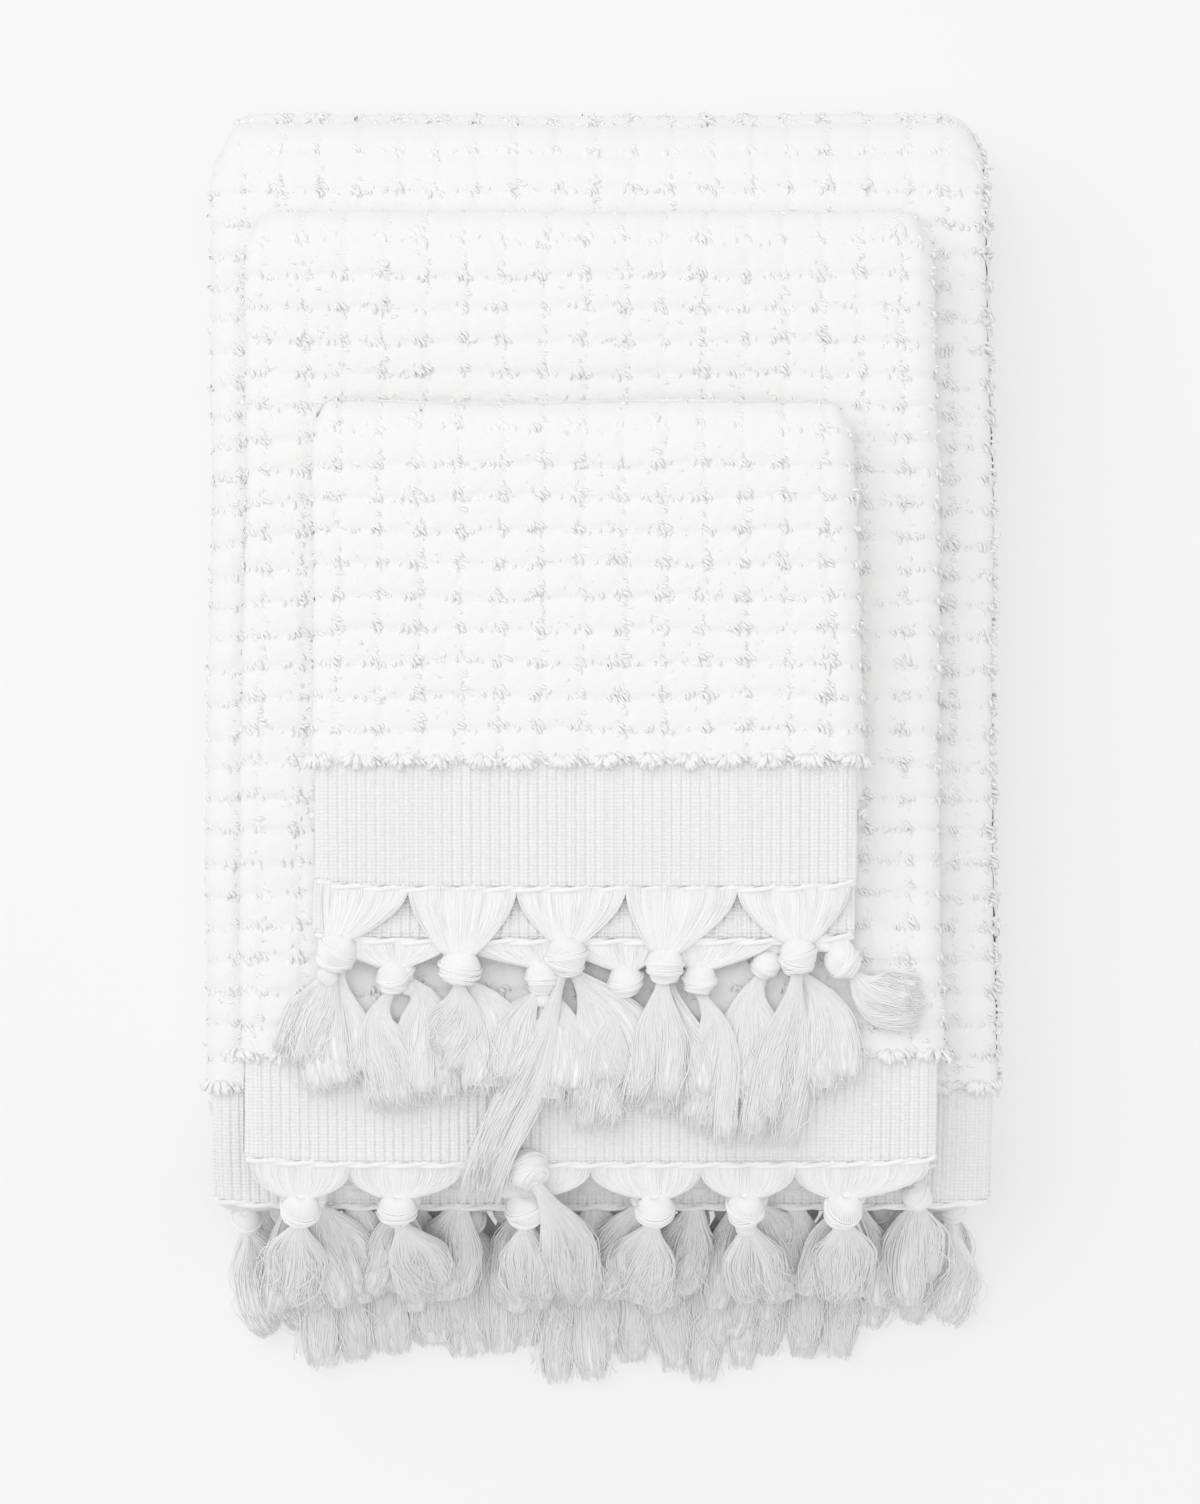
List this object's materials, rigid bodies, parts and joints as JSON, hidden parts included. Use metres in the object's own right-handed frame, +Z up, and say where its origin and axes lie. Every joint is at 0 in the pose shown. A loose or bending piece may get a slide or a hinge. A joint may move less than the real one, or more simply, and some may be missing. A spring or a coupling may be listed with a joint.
{
  "type": "bath towel set",
  "caption": "Stack of folded waffle terry towels in graded sizes, with flat ribbed bands, twined cords and knotted tassels at the ends.",
  "frame": {"origin": "middle of the stack's footprint, fringe included, on the surface it rests on", "axes": "+Z up through the stack; +Y towards the back folds, away from the fringed ends; +X to the right seen from above with the fringe at the bottom"},
  "size_m": [0.2468, 0.416, 0.1148],
  "materials": {
    "terry_cotton": "looped and cut cotton pile, matt",
    "woven_band": "warp-ribbed flat weave, matt",
    "twined_cord": "two-ply twisted cotton, matt",
    "tassel_yarn": "loose cotton yarn with a faint sheen"
  },
  "bodies": {
    "bath_towel": {"bath_terry_cloth": "terry_cotton", "bath_upper_band": "woven_band", "bath_upper_cord": "twined_cord", "bath_lower_band": "woven_band", "bath_lower_cord": "twined_cord", "bath_upper_tassel_1": "tassel_yarn", "bath_upper_tassel_2": "tassel_yarn", "bath_upper_tassel_3": "tassel_yarn", "bath_upper_tassel_4": "tassel_yarn", "bath_upper_tassel_5": "tassel_yarn", "bath_upper_tassel_6": "tassel_yarn", "bath_upper_tassel_7": "tassel_yarn", "bath_upper_tassel_8": "tassel_yarn", "bath_upper_tassel_9": "tassel_yarn", "bath_upper_tassel_10": "tassel_yarn", "bath_lower_tassel_1": "tassel_yarn", "bath_lower_tassel_2": "tassel_yarn", "bath_lower_tassel_3": "tassel_yarn", "bath_lower_tassel_4": "tassel_yarn", "bath_lower_tassel_5": "tassel_yarn", "bath_lower_tassel_6": "tassel_yarn", "bath_lower_tassel_7": "tassel_yarn", "bath_lower_tassel_8": "tassel_yarn", "bath_lower_tassel_9": "tassel_yarn", "bath_lower_tassel_10": "tassel_yarn"},
    "hand_towel": {"hand_terry_cloth": "terry_cotton", "hand_upper_band": "woven_band", "hand_upper_cord": "twined_cord", "hand_lower_band": "woven_band", "hand_lower_cord": "twined_cord", "hand_upper_tassel_1": "tassel_yarn", "hand_upper_tassel_2": "tassel_yarn", "hand_upper_tassel_3": "tassel_yarn", "hand_upper_tassel_4": "tassel_yarn", "hand_upper_tassel_5": "tassel_yarn", "hand_upper_tassel_6": "tassel_yarn", "hand_lower_tassel_1": "tassel_yarn", "hand_lower_tassel_2": "tassel_yarn", "hand_lower_tassel_3": "tassel_yarn", "hand_lower_tassel_4": "tassel_yarn", "hand_lower_tassel_5": "tassel_yarn", "hand_lower_tassel_6": "tassel_yarn"},
    "wash_cloth_lower_leaf": {"wash_lower_leaf_terry": "terry_cotton", "wash_lower_band": "woven_band", "wash_lower_cord": "twined_cord", "wash_lower_tassel_1": "tassel_yarn", "wash_lower_tassel_2": "tassel_yarn", "wash_lower_tassel_3": "tassel_yarn", "wash_lower_tassel_4": "tassel_yarn", "wash_lower_tassel_5": "tassel_yarn"},
    "wash_cloth_upper_leaf": {"wash_upper_leaf_terry": "terry_cotton", "wash_upper_band": "woven_band", "wash_upper_cord": "twined_cord"},
    "wash_tassel_1": {"wash_upper_tassel_1": "tassel_yarn"},
    "wash_tassel_2": {"wash_upper_tassel_2": "tassel_yarn"},
    "wash_tassel_3": {"wash_upper_tassel_3": "tassel_yarn"},
    "wash_tassel_4": {"wash_upper_tassel_4": "tassel_yarn"},
    "wash_tassel_5": {"wash_upper_tassel_5": "tassel_yarn"}
  },
  "joints": [
    {"name": "hand_towel_lift", "type": "slide", "parent": "bath_towel", "child": "hand_towel", "axis": [0, 0, 1], "range_m": [0, 0.15]},
    {"name": "wash_cloth_lift", "type": "slide", "parent": "hand_towel", "child": "wash_cloth_lower_leaf", "axis": [0, 0, 1], "range_m": [0, 0.12]},
    {"name": "wash_cloth_open", "type": "hinge", "parent": "wash_cloth_lower_leaf", "child": "wash_cloth_upper_leaf", "pos_m": [0, 0.11145, 0.1028], "axis": [-1, 0, 0], "range_deg": [0, 180]},
    {"name": "wash_tassel_1_swing", "type": "hinge", "parent": "wash_cloth_upper_leaf", "child": "wash_tassel_1", "pos_m": [0, -0.04063, 0.1039], "axis": [-1, 0, 0], "range_deg": [0, 75]},
    {"name": "wash_tassel_2_swing", "type": "hinge", "parent": "wash_cloth_upper_leaf", "child": "wash_tassel_2", "pos_m": [0, -0.04063, 0.1039], "axis": [-1, 0, 0], "range_deg": [0, 75]},
    {"name": "wash_tassel_3_swing", "type": "hinge", "parent": "wash_cloth_upper_leaf", "child": "wash_tassel_3", "pos_m": [0, -0.04063, 0.1039], "axis": [-1, 0, 0], "range_deg": [0, 75]},
    {"name": "wash_tassel_4_swing", "type": "hinge", "parent": "wash_cloth_upper_leaf", "child": "wash_tassel_4", "pos_m": [0, -0.04063, 0.1039], "axis": [-1, 0, 0], "range_deg": [0, 75]},
    {"name": "wash_tassel_5_swing", "type": "hinge", "parent": "wash_cloth_upper_leaf", "child": "wash_tassel_5", "pos_m": [0, -0.04063, 0.1039], "axis": [-1, 0, 0], "range_deg": [0, 75]}
  ]
}
